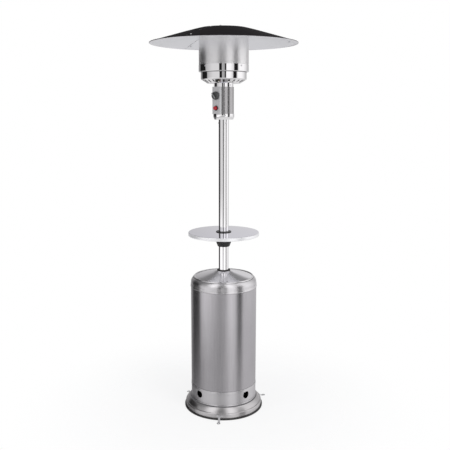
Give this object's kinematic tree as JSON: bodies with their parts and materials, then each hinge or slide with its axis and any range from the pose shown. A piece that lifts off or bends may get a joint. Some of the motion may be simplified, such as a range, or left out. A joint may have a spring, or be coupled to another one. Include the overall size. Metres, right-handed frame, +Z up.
{
  "type": "gas infrared heater",
  "caption": "Free-standing gas patio heater: wide dished reflector over a round emitter head on a pole, with a sliding round table and a lift-off tank housing on a round base.",
  "frame": {"origin": "on the floor, at the middle of the base ring, on the pole's axis", "axes": "+Z up along the pole; -Y towards the side that the picture is taken from; the control panel faces 130 degrees clockwise from +X, seen from above"},
  "size_m": [0.8129, 0.8128, 2.1754],
  "materials": {
    "black_metal": "black powder coat",
    "brushed_steel": "brushed stainless steel",
    "polished_steel": "polished stainless steel",
    "zinc": "zinc plated",
    "brass": "plain brass",
    "rubber": "black rubber",
    "black_plastic": "moulded black",
    "red_plastic": "moulded red",
    "ceramic": "glazed white",
    "reflector_sheet": "satin sheet, dark above and pale below"
  },
  "bodies": {
    "frame": {"base_edge_ring": "black_metal", "base_plate": "black_metal", "base_skirt": "brushed_steel", "vent_band": "brushed_steel", "anchor_brackets": "zinc", "anchor_screws": "zinc", "support_leg_1": "black_metal", "support_leg_2": "black_metal", "support_leg_3": "black_metal", "leg_foot_bolts": "zinc", "post_socket": "black_metal", "socket_bolts": "zinc", "post": "polished_steel", "post_bolts": "zinc", "inlet_union": "brass", "gas_hose": "rubber", "hose_nuts": "brass", "head_socket": "polished_steel", "head_screws": "zinc", "case_shell": "brushed_steel", "control_panel": "brushed_steel", "gas_valve": "brass", "valve_screws": "zinc", "igniter_body": "black_plastic", "igniter_bezel": "black_plastic", "tilt_switch": "black_plastic", "supply_pipe": "brass", "injector": "brass", "head_neck": "polished_steel", "burner_bowl": "polished_steel", "burner_deck": "brushed_steel", "mixer_tube": "brushed_steel", "burner_head": "brushed_steel", "pilot_burner": "brushed_steel", "pilot_tube": "brass", "thermocouple": "brass", "spark_electrode": "ceramic", "ignition_lead": "rubber", "emitter_band": "polished_steel", "emitter_screen": "brushed_steel", "emitter_top": "brushed_steel", "reflector_studs": "zinc", "reflector_nuts": "zinc", "reflector_panel_1": "reflector_sheet", "reflector_panel_2": "reflector_sheet", "reflector_panel_3": "reflector_sheet", "reflector_hub": "reflector_sheet", "seam_screws": "zinc", "seam_nuts": "zinc"},
    "housing": {"housing_sleeve": "brushed_steel", "housing_cap": "brushed_steel", "cap_bush": "black_plastic"},
    "table": {"table_top": "brushed_steel", "table_hub": "black_plastic", "table_flange_ring": "black_plastic"},
    "table_nut": {"table_nut": "black_plastic"},
    "valve_stem": {"valve_stem": "brass"},
    "control_knob": {"control_knob": "black_plastic"},
    "igniter_button": {"igniter_button": "red_plastic"}
  },
  "joints": [
    {"name": "housing_lift", "type": "slide", "parent": "frame", "child": "housing", "axis": [0, 0, 1], "range_m": [0, 0.125]},
    {"name": "table_slide", "type": "slide", "parent": "frame", "child": "table", "axis": [0, 0, 1], "range_m": [0, 0.6]},
    {"name": "table_nut_turn", "type": "hinge", "parent": "table", "child": "table_nut", "pos_m": [0, 0, 1], "axis": [0, 0, 1], "range_deg": [-360, 0]},
    {"name": "knob_turn", "type": "hinge", "parent": "frame", "child": "valve_stem", "pos_m": [-0.03857, -0.04596, 1.809], "axis": [-0.6428, -0.766, 0], "range_deg": [0, 180]},
    {"name": "knob_push", "type": "slide", "parent": "valve_stem", "child": "control_knob", "axis": [0.6428, 0.766, 0], "range_m": [0, 0.003], "stiffness_N_per_m": 800},
    {"name": "igniter_press", "type": "slide", "parent": "frame", "child": "igniter_button", "axis": [0.6428, 0.766, 0], "range_m": [0, 0.006], "stiffness_N_per_m": 1000}
  ]
}
